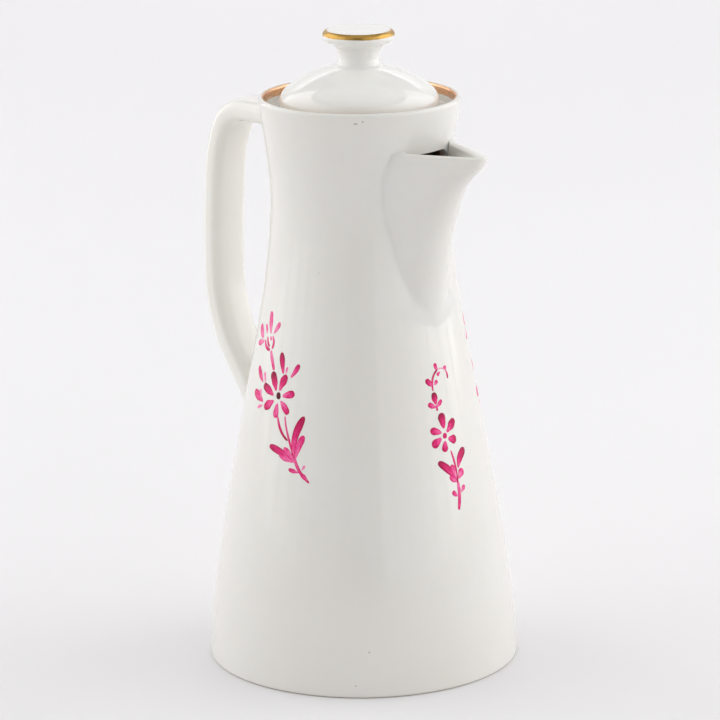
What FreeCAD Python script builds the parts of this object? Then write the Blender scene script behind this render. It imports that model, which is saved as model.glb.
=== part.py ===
import FreeCAD, Part
import math
import os

from FreeCAD import Vector as V

os.makedirs("parts", exist_ok=True)

# A tall conical porcelain coffee pot with a waisted neck, a beak spout, a
# strap handle and a domed lift-off lid.  Millimetres, +Z up.  The origin is
# the centre of the foot ring on the table, the spout points along +X and the
# handle along -X.

# ---------------------------------------------------------------- dimensions
# outer wall of the pot, (height, radius), foot to lip
BODY_PROFILE = [
    (1.0, 58.95), (13.0, 58.36), (30.4, 56.49), (54.2, 52.90), (82.4, 47.75),
    (112.8, 42.11), (138.8, 37.46), (160.5, 34.70), (180.0, 33.69),
    (199.6, 35.49), (215.8, 37.90),
]
WALL = 3.4                # wall of the pot
FOOT_ROUND = 1.0          # rounding of the outer foot edge
FOOT_RING_INNER_R = 51.0  # inside radius of the foot ring
FOOT_RECESS = 3.6         # depth of the hollow under the foot
BASE_THICK = 4.4          # thickness of the base
INNER_CORNER_R = 8.0      # inside corner between wall and base

LIP_R = 1.1               # rounding of the lip
LIP_Z = 215.8             # height of the lip rounding's centre
GALLERY_Z = 210.8         # ledge that the lid rests on
GALLERY_R = 35.1          # wall above the ledge, at the ledge
SEAT_R = 28.5             # hole inside the ledge
LEDGE_EDGE_Z = 207.9      # lower edge of the seat hole
LEDGE_ROOT_Z = 204.4      # where the ledge's sloping underside leaves the wall

GOLD_THICK = 0.2          # gilded layer, laid flush into the porcelain
RIM_GOLD_Z = 213.5        # lower edge of the gilding inside the lip
RIM_GOLD_TURN = 62.0      # how far the gilding goes up over the lip, degrees

LID_FLANGE_R = 27.7       # collar of the lid, 0.8 mm clear of the seat hole
LID_FLANGE_INNER_R = 25.1
LID_FLANGE_Z = 198.8      # lower edge of the collar
LID_REST_R = 29.4         # flat rim of the lid on the ledge
LID_DOME = [              # outside of the dome, (radius, height), upwards
    (29.4, 210.8), (29.85, 212.4), (30.0, 214.4), (29.6, 216.5),
    (28.3, 218.7), (26.0, 220.8), (22.8, 222.9), (18.8, 225.0),
    (14.6, 226.7), (10.8, 227.9), (7.9, 228.6),
]
LID_UNDER = [             # inside of the dome
    (25.1, 212.4), (24.5, 215.5), (22.3, 218.6), (18.4, 221.3),
    (13.2, 223.5), (6.8, 225.0), (0.0, 225.5),
]

KNOB_SEAT_Z = 228.6       # flat on top of the dome that the knob stands on
KNOB_FLANK = [            # waist of the knob, (radius, height), upwards
    (7.6, 228.6), (7.5, 230.7), (7.6, 232.5), (8.2, 234.3), (9.5, 235.9),
    (11.3, 237.0), (12.8, 237.8), (13.5, 238.8),
]
KNOB_R = 13.5
KNOB_EDGE_Z = 239.6       # start of the rounded, gilded edge
KNOB_EDGE_R = 2.1
KNOB_EDGE_TURN = 80.0
KNOB_TOP_Z = 242.0        # crown of the knob

# spout: horizontal sections (height, keel reach, keel rounding, half chord of
# the seam with the pot's wall, radius of the seam where it isn't the wall's)
SPOUT_SECTIONS = [
    (131.5, 37.2, 8.0, 5.0, 36.35),
    (139.5, 38.2, 12.5, 7.1, None),
    (148.5, 39.3, 13.2, 10.5, None),
    (157.5, 40.7, 13.0, 13.3, None),
    (166.5, 42.1, 12.5, 15.4, None),
    (173.5, 44.0, 11.6, 16.8, None),
    (180.0, 46.7, 10.4, 17.8, None),
    (186.5, 49.6, 8.9, 18.3, None),
    (192.0, 54.0, 7.1, 18.5, None),
    (197.0, 59.5, 5.2, 17.7, None),
    (201.4, 62.2, 3.4, 15.5, None),
]
# the channel inside it, a little keener than the outside; it is carried on
# above the spout's flat top
CHANNEL_SECTIONS = [
    (148.5, 39.3, 5.4, 10.5, None),
    (157.5, 40.7, 5.9, 13.3, None),
    (166.5, 42.1, 5.6, 15.4, None),
    (173.5, 44.0, 5.2, 16.8, None),
    (180.0, 46.7, 4.8, 17.8, None),
    (186.5, 49.6, 4.4, 18.3, None),
    (192.0, 54.0, 4.0, 18.5, None),
    (197.0, 59.5, 3.5, 17.7, None),
    (201.4, 62.2, 3.2, 15.5, None),
    (203.6, 64.0, 3.1, 14.0, None),
]
SPOUT_WALL = 2.4
SPOUT_HOLE_TOP_Z = 199.9  # upper edge of the hole through the pot's wall
SPOUT_HOLE_BOTTOM_Z = 148.5
SPOUT_HOLE_STEP = 0.4

# handle: strap section and the centre line as tangent runs
# (length, turn in degrees; positive turns downwards)
HANDLE_W = 17.9
HANDLE_T = 9.1
HANDLE_CORNER_R = 3.5
HANDLE_START = (30.0, 205.0)
HANDLE_RUNS = [
    (25.1, 0.0),
    (14.4, 68.7),
    (18.6, 16.7),
    (39.9, 5.7),
    (35.8, 33.4),
    (37.8, -13.0),
]


# ------------------------------------------------------------------- helpers
def spline(points):
    """Smooth curve through (radius, height) points in the XZ plane."""
    curve = Part.BSplineCurve()
    curve.interpolate([V(r, 0, z) for r, z in points])
    return curve.toShape()


def line(a, b):
    return Part.makeLine(V(a[0], 0, a[1]), V(b[0], 0, b[1]))


def arc(centre, radius, a0, a1):
    """Arc in the XZ plane, angles in degrees from +X towards +Z."""
    pts = []
    for a in (a0, 0.5 * (a0 + a1), a1):
        t = math.radians(a)
        pts.append(V(centre[0] + radius * math.cos(t), 0,
                     centre[1] + radius * math.sin(t)))
    return Part.Arc(*pts).toShape()


def polar(centre, radius, a):
    t = math.radians(a)
    return (centre[0] + radius * math.cos(t), centre[1] + radius * math.sin(t))


def revolve(edges):
    wire = Part.Wire(Part.__sortEdges__(edges))
    face = Part.Face(wire)
    # the seam lies at +Y, clear of spout and handle
    face.rotate(V(0, 0, 0), V(0, 0, 1), 90)
    solid = face.revolve(V(0, 0, 0), V(0, 0, 1), 360)
    if solid.ShapeType != "Solid":
        solid = Part.Solid(solid.Shells[0])
    if solid.Volume < 0:
        solid.reverse()
    return solid


def only_solid(shape):
    """The largest solid of a boolean result."""
    return sorted(shape.Solids, key=lambda s: s.Volume)[-1]


def outer_radius(z):
    """Radius of the pot's outer wall at a height."""
    pts = BODY_PROFILE
    if z <= pts[0][0]:
        return pts[0][1]
    return OUTER_CURVE.intersectCC(
        Part.LineSegment(V(0, 0, z), V(80, 0, z)))[0].X


OUTER_CURVE = Part.BSplineCurve()
OUTER_CURVE.interpolate([V(r, 0, z) for z, r in BODY_PROFILE])

# ------------------------------------------------------------------ pot body
lip_c = (BODY_PROFILE[-1][1] - LIP_R, LIP_Z)
lip_in = (lip_c[0] - LIP_R, LIP_Z)
floor_z = FOOT_RECESS + BASE_THICK
foot_r = BODY_PROFILE[0][1]

inner_pts = []
for z in (floor_z + INNER_CORNER_R, 30.0, 53.7, 81.6, 111.6, 137.4, 158.8,
          178.1, 192.0, LEDGE_ROOT_Z):
    inner_pts.append((outer_radius(z) - WALL, z))
corner_top = inner_pts[0]
corner_c = (corner_top[0] - INNER_CORNER_R, corner_top[1])

outer_edge = OUTER_CURVE.toShape()
lip_edge = arc(lip_c, LIP_R, 0, 180)
foot_edge = arc((foot_r - FOOT_ROUND, FOOT_ROUND), FOOT_ROUND, -90, 0)

pot_solid = revolve([
    line((FOOT_RING_INNER_R, 0), (foot_r - FOOT_ROUND, 0)),
    foot_edge,
    outer_edge,
    lip_edge,
    line(lip_in, (GALLERY_R, GALLERY_Z)),
    line((GALLERY_R, GALLERY_Z), (SEAT_R, GALLERY_Z)),
    line((SEAT_R, GALLERY_Z), (SEAT_R, LEDGE_EDGE_Z)),
    line((SEAT_R, LEDGE_EDGE_Z), inner_pts[-1]),
    spline(inner_pts),
    arc(corner_c, INNER_CORNER_R, 0, -90),
    line((corner_c[0], floor_z), (0, floor_z)),
    line((0, floor_z), (0, FOOT_RECESS)),
    line((0, FOOT_RECESS), (FOOT_RING_INNER_R - 1.2, FOOT_RECESS)),
    line((FOOT_RING_INNER_R - 1.2, FOOT_RECESS), (FOOT_RING_INNER_R, 0)),
])

# the same outer form without any hollow, for trimming spout and handle
pot_form = revolve([
    line((0, 0), (foot_r - FOOT_ROUND, 0)),
    foot_edge,
    outer_edge,
    line((BODY_PROFILE[-1][1], LIP_Z), (0, LIP_Z)),
    line((0, LIP_Z), (0, 0)),
])

# ------------------------------------------------------------- rim gold band
g0 = (GALLERY_R + (lip_in[0] - GALLERY_R)
      * (RIM_GOLD_Z - GALLERY_Z) / (LIP_Z - GALLERY_Z), RIM_GOLD_Z)
turn = 180.0 - RIM_GOLD_TURN
rim_gold_band = revolve([
    line(g0, lip_in),
    arc(lip_c, LIP_R, 180, turn),
    line(polar(lip_c, LIP_R, turn), polar(lip_c, LIP_R - GOLD_THICK, turn)),
    arc(lip_c, LIP_R - GOLD_THICK, turn, 180),
    line((lip_in[0] + GOLD_THICK, LIP_Z), (g0[0] + GOLD_THICK, RIM_GOLD_Z)),
    line((g0[0] + GOLD_THICK, RIM_GOLD_Z), g0),
])
pot_solid = only_solid(pot_solid.cut(rim_gold_band))


# --------------------------------------------------------------------- spout
def tangent_from(px, py, cx, r):
    """Point where the line from (px, py) touches the keel circle (cx, 0, r),
    on the side of positive y."""
    dx, dy = cx - px, -py
    d = math.hypot(dx, dy)
    along = math.atan2(dy, dx) + math.asin(r / d)
    length = math.sqrt(d * d - r * r)
    return (px + length * math.cos(along), py + length * math.sin(along),
            along)


def spout_outer(z, reach, keel, chord, seam):
    body = seam or outer_radius(z)
    px, py = math.sqrt(body * body - chord * chord), chord
    cx = reach - keel
    tx, ty, along = tangent_from(px, py, cx, keel)
    back = 4.0
    ax, ay = px - back * math.cos(along), py - back * math.sin(along)
    pts = [V(ax, -ay, z), V(tx, -ty, z), V(reach, 0, z), V(tx, ty, z),
           V(ax, ay, z)]
    return Part.Wire([
        Part.makeLine(pts[0], pts[1]),
        Part.Arc(pts[1], pts[2], pts[3]).toShape(),
        Part.makeLine(pts[3], pts[4]),
        Part.makeLine(pts[4], pts[0]),
    ])


def channel_edge(z, reach, keel, chord, seam):
    """Where the channel's flank meets the pot's outer wall, and the flank's
    heading: the outer flank moved inwards by the spout's wall."""
    body = seam or outer_radius(z)
    px, py = math.sqrt(body * body - chord * chord), chord
    along = tangent_from(px, py, reach - keel, keel)[2]
    qx = px + SPOUT_WALL * math.sin(along)
    qy = py - SPOUT_WALL * math.cos(along)
    for _ in range(40):
        r = math.hypot(qx, qy)
        step = (body - r) / max(0.2, math.cos(along - math.atan2(qy, qx)))
        qx += step * math.cos(along)
        qy += step * math.sin(along)
    return qx, qy


def spout_inner(z, reach, keel, chord, seam):
    """Channel section, its flanks carried a little way into the pot."""
    inner_keel = keel - SPOUT_WALL * 0.75
    icx = reach - SPOUT_WALL - inner_keel
    qx, qy = channel_edge(z, reach, keel, chord, seam)
    tx, ty, along = tangent_from(qx, qy, icx, inner_keel)
    back = 4.0
    ax, ay = qx - back * math.cos(along), qy - back * math.sin(along)
    pts = [V(ax, -ay, z), V(tx, -ty, z), V(icx + inner_keel, 0, z),
           V(tx, ty, z), V(ax, ay, z)]
    return Part.Wire([
        Part.makeLine(pts[0], pts[1]),
        Part.Arc(pts[1], pts[2], pts[3]).toShape(),
        Part.makeLine(pts[3], pts[4]),
        Part.makeLine(pts[4], pts[0]),
    ])


spout_blank = Part.makeLoft([spout_outer(*s) for s in SPOUT_SECTIONS],
                            True, False)
# the channel runs out through the flat top of the spout
channel = Part.makeLoft([spout_inner(*s) for s in CHANNEL_SECTIONS],
                        True, False)

spout = spout_blank.cut(pot_form)
spout = spout.cut(channel)
spout = only_solid(spout)

# the way from the pot into the spout: one tall hole, a little narrower than
# the channel, cut straight through the wall
sides = []
for section in CHANNEL_SECTIONS[:-1]:
    z = min(max(section[0], SPOUT_HOLE_BOTTOM_Z), SPOUT_HOLE_TOP_Z)
    sides.append((channel_edge(*section)[1] - SPOUT_HOLE_STEP, z))
right = Part.BSplineCurve()
right.interpolate([V(18, y, z) for y, z in sides])
left = Part.BSplineCurve()
left.interpolate([V(18, -y, z) for y, z in sides])
hole_wire = Part.Wire(Part.__sortEdges__([
    right.toShape(),
    left.toShape(),
    Part.makeLine(V(18, -sides[0][0], sides[0][1]),
                  V(18, sides[0][0], sides[0][1])),
    Part.makeLine(V(18, -sides[-1][0], sides[-1][1]),
                  V(18, sides[-1][0], sides[-1][1])),
]))
spout_hole = Part.Face(hole_wire).extrude(V(26, 0, 0))
pot_body = only_solid(pot_solid.cut(spout_hole))

# -------------------------------------------------------------------- handle
edges = []
x, z = HANDLE_START
heading = 0.0
for length, turn_deg in HANDLE_RUNS:
    if abs(turn_deg) < 1e-6:
        x1 = x + length * math.cos(heading)
        z1 = z - length * math.sin(heading)
        edges.append(Part.makeLine(V(-x, 0, z), V(-x1, 0, z1)))
    else:
        phi = math.radians(turn_deg)
        radius = length / phi

        def at(s):
            a = heading + s * phi
            return (x + radius * (math.sin(a) - math.sin(heading)),
                    z + radius * (math.cos(a) - math.cos(heading)))
        xm, zm = at(0.5)
        x1, z1 = at(1.0)
        edges.append(Part.Arc(V(-x, 0, z), V(-xm, 0, zm),
                              V(-x1, 0, z1)).toShape())
        heading += phi
    x, z = x1, z1
handle_path = Part.Wire(edges)


def strap_section(cx, cz):
    """Rounded rectangle in the YZ plane, square to the start of the strap."""
    w, t, r = 0.5 * HANDLE_W, 0.5 * HANDLE_T, HANDLE_CORNER_R
    k = r * (1.0 - math.sqrt(0.5))

    def p(y, zz):
        return V(-cx, y, cz + zz)
    return Part.Wire([
        Part.makeLine(p(-w + r, -t), p(w - r, -t)),
        Part.Arc(p(w - r, -t), p(w - k, -t + k), p(w, -t + r)).toShape(),
        Part.makeLine(p(w, -t + r), p(w, t - r)),
        Part.Arc(p(w, t - r), p(w - k, t - k), p(w - r, t)).toShape(),
        Part.makeLine(p(w - r, t), p(-w + r, t)),
        Part.Arc(p(-w + r, t), p(-w + k, t - k), p(-w, t - r)).toShape(),
        Part.makeLine(p(-w, t - r), p(-w, -t + r)),
        Part.Arc(p(-w, -t + r), p(-w + k, -t + k), p(-w + r, -t)).toShape(),
    ])


strap = handle_path.makePipeShell([strap_section(*HANDLE_START)], True, False)
handle = only_solid(strap.cut(pot_form))

# ----------------------------------------------------------------------- lid
lid = revolve([
    line((LID_FLANGE_INNER_R, LID_FLANGE_Z), (LID_FLANGE_R, LID_FLANGE_Z)),
    line((LID_FLANGE_R, LID_FLANGE_Z), (LID_FLANGE_R, GALLERY_Z)),
    line((LID_FLANGE_R, GALLERY_Z), (LID_REST_R, GALLERY_Z)),
    spline(LID_DOME),
    line(LID_DOME[-1], (0, KNOB_SEAT_Z)),
    line((0, KNOB_SEAT_Z), LID_UNDER[-1]),
    spline(LID_UNDER),
    line(LID_UNDER[0], (LID_FLANGE_INNER_R, LID_FLANGE_Z)),
])

# ---------------------------------------------------------------------- knob
edge_c = (KNOB_R - KNOB_EDGE_R, KNOB_EDGE_Z)
edge_end = polar(edge_c, KNOB_EDGE_R, KNOB_EDGE_TURN)
crown = Part.Arc(V(edge_end[0], 0, edge_end[1]),
                 V(0.5 * edge_end[0], 0,
                   edge_end[1] + 0.75 * (KNOB_TOP_Z - edge_end[1])),
                 V(0, 0, KNOB_TOP_Z)).toShape()
knob_solid = revolve([
    line((0, KNOB_SEAT_Z), KNOB_FLANK[0]),
    spline(KNOB_FLANK),
    line(KNOB_FLANK[-1], (KNOB_R, KNOB_EDGE_Z)),
    arc(edge_c, KNOB_EDGE_R, 0, KNOB_EDGE_TURN),
    crown,
    line((0, KNOB_TOP_Z), (0, KNOB_SEAT_Z)),
])
in_r = KNOB_EDGE_R - GOLD_THICK
knob_gold_band = revolve([
    arc(edge_c, KNOB_EDGE_R, 0, KNOB_EDGE_TURN),
    line(edge_end, polar(edge_c, in_r, KNOB_EDGE_TURN)),
    arc(edge_c, in_r, KNOB_EDGE_TURN, 0),
    line(polar(edge_c, in_r, 0), (KNOB_R, KNOB_EDGE_Z)),
])
lid_knob = only_solid(knob_solid.cut(knob_gold_band))

# -------------------------------------------------------------------- export
for name, shape in (
        ("pot_body", pot_body),
        ("spout", spout),
        ("handle", handle),
        ("rim_gold_band", rim_gold_band),
        ("lid", lid),
        ("lid_knob", lid_knob),
        ("knob_gold_band", knob_gold_band)):
    shape.exportStep("parts/%s.step" % name)
    box = shape.BoundBox
    print("%-15s valid %s solids %d volume %.1f  x %.2f %.2f y %.2f %.2f "
          "z %.2f %.2f" % (name, shape.isValid(), len(shape.Solids),
                           shape.Volume, box.XMin, box.XMax, box.YMin,
                           box.YMax, box.ZMin, box.ZMax))
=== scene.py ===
import math

import bmesh
import bpy
import numpy as np
from mathutils import Matrix


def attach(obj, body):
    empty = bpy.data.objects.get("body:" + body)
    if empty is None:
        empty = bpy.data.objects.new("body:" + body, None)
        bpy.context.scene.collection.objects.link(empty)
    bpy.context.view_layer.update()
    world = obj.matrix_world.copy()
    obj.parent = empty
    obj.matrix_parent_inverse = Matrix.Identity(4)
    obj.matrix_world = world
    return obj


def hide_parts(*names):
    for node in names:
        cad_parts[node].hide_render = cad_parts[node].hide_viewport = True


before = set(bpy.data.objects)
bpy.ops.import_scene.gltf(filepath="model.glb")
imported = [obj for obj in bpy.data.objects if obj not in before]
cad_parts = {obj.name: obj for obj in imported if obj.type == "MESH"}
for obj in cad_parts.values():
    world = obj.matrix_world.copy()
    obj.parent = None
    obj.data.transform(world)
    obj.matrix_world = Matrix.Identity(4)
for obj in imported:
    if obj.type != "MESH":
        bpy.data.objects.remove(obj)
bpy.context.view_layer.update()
scene = bpy.context.scene

# The pieces are laid out in millimetres in the frame of the part (+Z up, spout
# along +X, handle along -X) and written to the meshes in metres.
MM = 0.001

# ------------------------------------------------------------------ dimensions
BODY_PROFILE = [
    (1.0, 58.95), (13.0, 58.36), (30.4, 56.49), (54.2, 52.90), (82.4, 47.75),
    (112.8, 42.11), (138.8, 37.46), (160.5, 34.70), (180.0, 33.69),
    (199.6, 35.49), (215.8, 37.90),
]
WALL = 3.4
FLOOR_Z = 8.0
LIP_R, LIP_Z = 1.1, 215.8
GALLERY_Z, GALLERY_R = 210.8, 35.1
SEAT_R, LEDGE_EDGE_Z, LEDGE_ROOT_Z = 28.5, 207.9, 204.4

LID_DOME = [
    (29.4, 210.8), (29.85, 212.4), (30.0, 214.4), (29.6, 216.5),
    (28.3, 218.7), (26.0, 220.8), (22.8, 222.9), (18.8, 225.0),
    (14.6, 226.7), (10.8, 227.9), (7.9, 228.6),
]
LID_UNDER = [
    (25.1, 212.4), (24.5, 215.5), (22.3, 218.6), (18.4, 221.3),
    (13.2, 223.5), (6.8, 225.0), (0.0, 225.5),
]
KNOB_FLANK = [
    (7.6, 228.6), (7.5, 230.7), (7.6, 232.5), (8.2, 234.3), (9.5, 235.9),
    (11.3, 237.0), (12.8, 237.8), (13.5, 238.8),
]
KNOB_R, KNOB_EDGE_Z, KNOB_EDGE_R = 13.5, 239.6, 2.1
KNOB_EDGE_TURN, KNOB_TOP_Z = 80.0, 242.0

# spout: height, reach of the keel, keel rounding, half chord of the seam
SPOUT = [
    (131.5, 37.2, 8.0, 5.0), (139.5, 38.2, 12.5, 7.1), (148.5, 39.3, 13.2, 10.5),
    (157.5, 40.7, 13.0, 13.3), (166.5, 42.1, 12.5, 15.4), (173.5, 44.0, 11.6, 16.8),
    (180.0, 46.7, 10.4, 17.8), (186.5, 49.6, 8.9, 18.3), (192.0, 54.0, 7.1, 18.5),
    (197.0, 59.5, 5.2, 17.7), (201.4, 62.2, 3.4, 15.5),
]
# the channel inside it is a little keener
CHANNEL_KEEL = [8.0, 8.0, 5.4, 5.9, 5.6, 5.2, 4.8, 4.4, 4.0, 3.5, 3.2]
SPOUT_SEAM_LOW = 36.35
SPOUT_WALL = 2.4
SPOUT_TOP = 201.4
HOLE_TOP, HOLE_BOTTOM, HOLE_STEP = 199.9, 148.5, 0.06

HANDLE_W, HANDLE_T, HANDLE_CORNER = 17.9, 9.1, 3.5
HANDLE_START = (30.0, 205.0)
HANDLE_RUNS = [(25.1, 0.0), (14.4, 68.7), (18.6, 16.7), (39.9, 5.7),
               (35.8, 33.4), (37.8, -13.0)]


# --------------------------------------------------------------------- helpers
class Spline:
    """Natural cubic through points, straight on beyond its ends."""

    def __init__(self, x, y):
        self.x = x = np.asarray(x, float)
        y = np.asarray(y, float)
        self.y = y = y.reshape(len(x), -1)
        n, h = len(x), np.diff(x)
        a = np.zeros((n, n))
        b = np.zeros_like(y)
        a[0, 0] = a[-1, -1] = 1.0
        for i in range(1, n - 1):
            a[i, i - 1:i + 2] = h[i - 1], 2 * (h[i - 1] + h[i]), h[i]
            b[i] = 6 * ((y[i + 1] - y[i]) / h[i] - (y[i] - y[i - 1]) / h[i - 1])
        self.m = np.linalg.solve(a, b)

    def __call__(self, t):
        t = np.asarray(t, float)
        s = np.clip(t, self.x[0], self.x[-1]).ravel()
        i = np.clip(np.searchsorted(self.x, s) - 1, 0, len(self.x) - 2)
        h = (self.x[i + 1] - self.x[i])[:, None]
        p = ((self.x[i + 1] - s)[:, None] / h)
        q = 1 - p
        v = (p * self.y[i] + q * self.y[i + 1]
             + ((p ** 3 - p) * self.m[i] + (q ** 3 - q) * self.m[i + 1]) * h * h / 6)
        for k, end in ((0, 0), (-1, 1)):
            far = t.ravel() < self.x[0] if end == 0 else t.ravel() > self.x[-1]
            if far.any():
                j = 0 if end == 0 else len(self.x) - 2
                hh = self.x[j + 1] - self.x[j]
                slope = (self.y[j + 1] - self.y[j]) / hh
                slope = slope - hh / 6 * ((2 * self.m[j] + self.m[j + 1]) if end == 0
                                          else -(self.m[j] + 2 * self.m[j + 1]))
                v[far] = self.y[k] + (t.ravel()[far] - self.x[k])[:, None] * slope
        return v.reshape(t.shape + (self.y.shape[1],)) if self.y.shape[1] > 1 \
            else v.reshape(t.shape)


def along(points, n):
    """n points on a smooth curve through the given ones."""
    p = np.asarray(points, float)
    s = np.concatenate([[0], np.cumsum(np.linalg.norm(np.diff(p, axis=0), axis=1))])
    return Spline(s, p)(np.linspace(0, s[-1], n))


def rounded(points, radii, steps=6):
    """A polyline in the (r, z) plane with its inner corners rounded."""
    out = [np.array(points[0], float)]
    for i in range(1, len(points) - 1):
        a, b, c = (np.array(points[j], float) for j in (i - 1, i, i + 1))
        if radii[i] <= 0:
            out.append(b)
            continue
        u, v = (a - b) / np.linalg.norm(a - b), (c - b) / np.linalg.norm(c - b)
        half = 0.5 * math.acos(max(-1, min(1, float(u @ v))))
        reach = radii[i] / math.tan(half)
        mid = b + (u + v) / np.linalg.norm(u + v) * radii[i] / math.sin(half)
        p, q = b + u * reach - mid, b + v * reach - mid
        turn = math.acos(max(-1, min(1, float(p @ q) / radii[i] ** 2)))
        for k in range(steps + 1):
            t = k / steps
            w = (math.sin((1 - t) * turn) * p + math.sin(t * turn) * q) / math.sin(turn)
            out.append(mid + w)
    out.append(np.array(points[-1], float))
    return np.array(out)


def arc(centre, radius, a0, a1, n):
    t = np.radians(np.linspace(a0, a1, n))
    return np.stack([centre[0] + radius * np.cos(t),
                     centre[1] + radius * np.sin(t)], 1)


def smooth(t):
    t = np.clip(t, 0, 1)
    return t * t * (3 - 2 * t)


BODY = Spline([p[0] for p in BODY_PROFILE], [p[1] for p in BODY_PROFILE])


def wall(z):
    """Outer radius of the pot at a height."""
    return BODY(np.clip(z, 1.0, 215.8))


def wall_slope(z):
    return (wall(z + 0.05) - wall(z - 0.05)) / 0.1


def make(name, verts, faces, material, body, node=None,
         sharp=38.0, weld=0.0):
    """A smooth-shaded piece that rides on a body."""
    me = bpy.data.meshes.new(name)
    me.from_pydata((np.asarray(verts, float) * MM).tolist(), [],
                   [tuple(int(i) for i in f) for f in faces])
    bm = bmesh.new()
    bm.from_mesh(me)
    if weld:
        bmesh.ops.remove_doubles(bm, verts=bm.verts, dist=weld * MM)
        bmesh.ops.dissolve_degenerate(bm, edges=bm.edges, dist=1e-9)
    bmesh.ops.recalc_face_normals(bm, faces=bm.faces)
    bm.to_mesh(me)
    bm.free()
    me.validate()
    me.polygons.foreach_set("use_smooth", [True] * len(me.polygons))
    me.set_sharp_from_angle(angle=math.radians(sharp))
    ob = bpy.data.objects.new(name, me)
    scene.collection.objects.link(ob)
    me.materials.append(material)
    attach(ob, body)
    if node:
        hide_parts(node)
    return ob


def grid_faces(rows, cols, wrap_cols=True, wrap_rows=False, start=0):
    out = []
    for j in range(rows if wrap_rows else rows - 1):
        for i in range(cols if wrap_cols else cols - 1):
            a, b = j * cols + i, j * cols + (i + 1) % cols
            c, d = ((j + 1) % rows) * cols + (i + 1) % cols, ((j + 1) % rows) * cols + i
            out.append((start + a, start + b, start + c, start + d))
    return out


def lathe(profile, n=240, closed=False):
    """A surface of revolution. A profile end on the axis becomes one vertex."""
    p = np.asarray(profile, float)
    t = np.linspace(0, 2 * math.pi, n, endpoint=False)
    first = not closed and abs(p[0, 0]) < 1e-6
    last = not closed and abs(p[-1, 0]) < 1e-6
    ring = p[(1 if first else 0):(len(p) - 1 if last else len(p))]
    v = np.stack([np.outer(ring[:, 0], np.cos(t)), np.outer(ring[:, 0], np.sin(t)),
                  np.repeat(ring[:, 1:2], n, 1)], -1).reshape(-1, 3)
    f = grid_faces(len(ring), n, True, closed)
    if first:
        v = np.vstack([v, [[0, 0, p[0, 1]]]])
        f += [(len(v) - 1, (i + 1) % n, i) for i in range(n)]
    if last:
        v = np.vstack([v, [[0, 0, p[-1, 1]]]])
        b = (len(ring) - 1) * n
        f += [(len(v) - 1, b + i, b + (i + 1) % n) for i in range(n)]
    return v, f


# ------------------------------------------------------------------- materials
def tree_of(name):
    m = bpy.data.materials.new(name)
    m.use_nodes = True
    nt = m.node_tree
    nt.nodes.clear()
    out = nt.nodes.new("ShaderNodeOutputMaterial")
    bsdf = nt.nodes.new("ShaderNodeBsdfPrincipled")
    nt.links.new(bsdf.outputs[0], out.inputs["Surface"])
    return m, nt, bsdf


def node(nt, kind, **values):
    n = nt.nodes.new("ShaderNode" + kind)
    for k, v in values.items():
        if hasattr(n, k) and k not in n.inputs:
            setattr(n, k, v)
        else:
            n.inputs[k].default_value = v
    return n


def noise(nt, vec, scale, detail=3.0, rough=0.5, dist=0.0):
    n = node(nt, "TexNoise")
    n.inputs["Scale"].default_value = scale
    n.inputs["Detail"].default_value = detail
    n.inputs["Roughness"].default_value = rough
    n.inputs["Distortion"].default_value = dist
    nt.links.new(vec, n.inputs["Vector"])
    return n.outputs["Fac"]


def span(nt, value, lo, hi, to_lo=0.0, to_hi=1.0, kind="LINEAR"):
    n = node(nt, "MapRange")
    n.interpolation_type = kind
    nt.links.new(value, n.inputs["Value"])
    for k, v in (("From Min", lo), ("From Max", hi), ("To Min", to_lo), ("To Max", to_hi)):
        n.inputs[k].default_value = v
    return n.outputs["Result"]


def math_node(nt, op, a, b=None, clamp=False):
    n = node(nt, "Math")
    n.operation = op
    n.use_clamp = clamp
    for i, x in enumerate((a, b)):
        if x is None:
            continue
        if isinstance(x, (int, float)):
            n.inputs[i].default_value = x
        else:
            nt.links.new(x, n.inputs[i])
    return n.outputs[0]


def mix(nt, fac, a, b):
    n = node(nt, "Mix")
    n.data_type = "RGBA"
    n.clamp_factor = True
    if isinstance(fac, (int, float)):
        n.inputs[0].default_value = fac
    else:
        nt.links.new(fac, n.inputs[0])
    for i, x in ((6, a), (7, b)):
        if isinstance(x, tuple):
            n.inputs[i].default_value = (*x, 1.0)
        else:
            nt.links.new(x, n.inputs[i])
    return n.outputs[2]


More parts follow.
